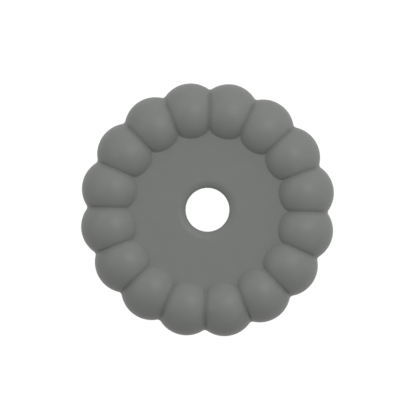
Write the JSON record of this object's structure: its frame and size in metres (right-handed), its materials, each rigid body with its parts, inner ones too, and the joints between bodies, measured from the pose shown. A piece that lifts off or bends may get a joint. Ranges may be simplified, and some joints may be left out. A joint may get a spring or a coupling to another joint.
{
  "type": "lobed rubber washer",
  "caption": "Soft rubber washer: ball-shaped lobes in a ring round a flat recessed web, a plain central bore, and a stiff load ring moulded inside the web.",
  "frame": {"origin": "on the bore axis, in the plane of the flat underside", "axes": "+Z along the bore axis, out of the recessed face; +X through the middle of one lobe"},
  "size_m": [0.05, 0.05, 0.01],
  "materials": {
    "soft_body": "matt moulded silicone rubber, mid grey, very fine even grain",
    "ring_steel": "plain blanked steel with a thin dull zinc coat"
  },
  "bodies": {
    "root": {"lobed_body": "soft_body", "load_ring": "ring_steel"}
  },
  "joints": []
}
